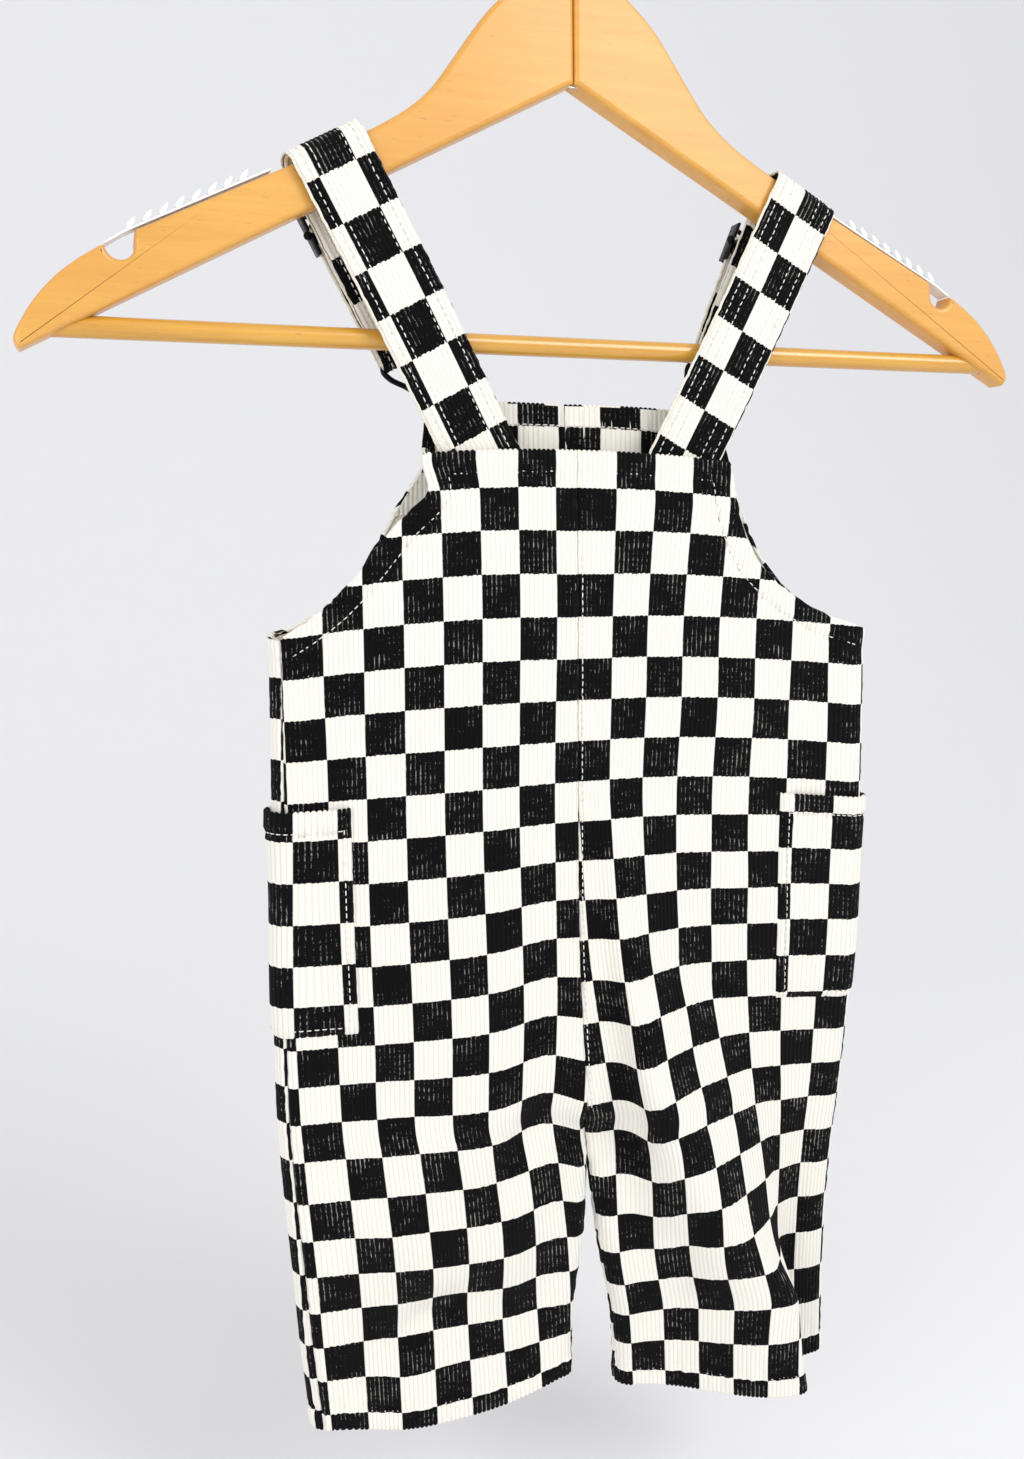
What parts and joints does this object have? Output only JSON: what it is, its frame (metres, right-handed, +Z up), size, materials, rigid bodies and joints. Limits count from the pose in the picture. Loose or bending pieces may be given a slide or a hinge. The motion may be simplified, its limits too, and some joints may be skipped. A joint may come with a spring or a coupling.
{
  "type": "corduroy bib overalls on wooden hanger",
  "caption": "Toddler's checked corduroy bib overalls hanging by the straps from a wooden trouser hanger with a steel hook.",
  "frame": {"origin": "inside crest of the hanger's hook, where it rests on a rail", "axes": "+Z up, the garment's shown side faces -Y, +X to the right as that side is seen"},
  "size_m": [0.445, 0.0521, 0.7185],
  "materials": {
    "corduroy": "matte",
    "black_metal": "satin",
    "lacquered_wood": "satin",
    "clear_silicone": "gloss",
    "hook_steel": "gloss"
  },
  "bodies": {
    "root": {"front_left": "corduroy", "front_right": "corduroy", "back_left": "corduroy", "back_right": "corduroy", "pocket_left": "corduroy", "pocket_right": "corduroy", "strap_left": "corduroy", "strap_right": "corduroy", "slider_left": "black_metal", "slider_right": "black_metal", "buckle_left": "black_metal", "buckle_right": "black_metal", "button_left": "black_metal", "button_right": "black_metal", "hanger_arm_left": "lacquered_wood", "hanger_arm_right": "lacquered_wood", "hanger_bar": "lacquered_wood", "grip_strip_left": "clear_silicone", "grip_strip_right": "clear_silicone", "hanger_hook": "hook_steel"}
  },
  "joints": []
}
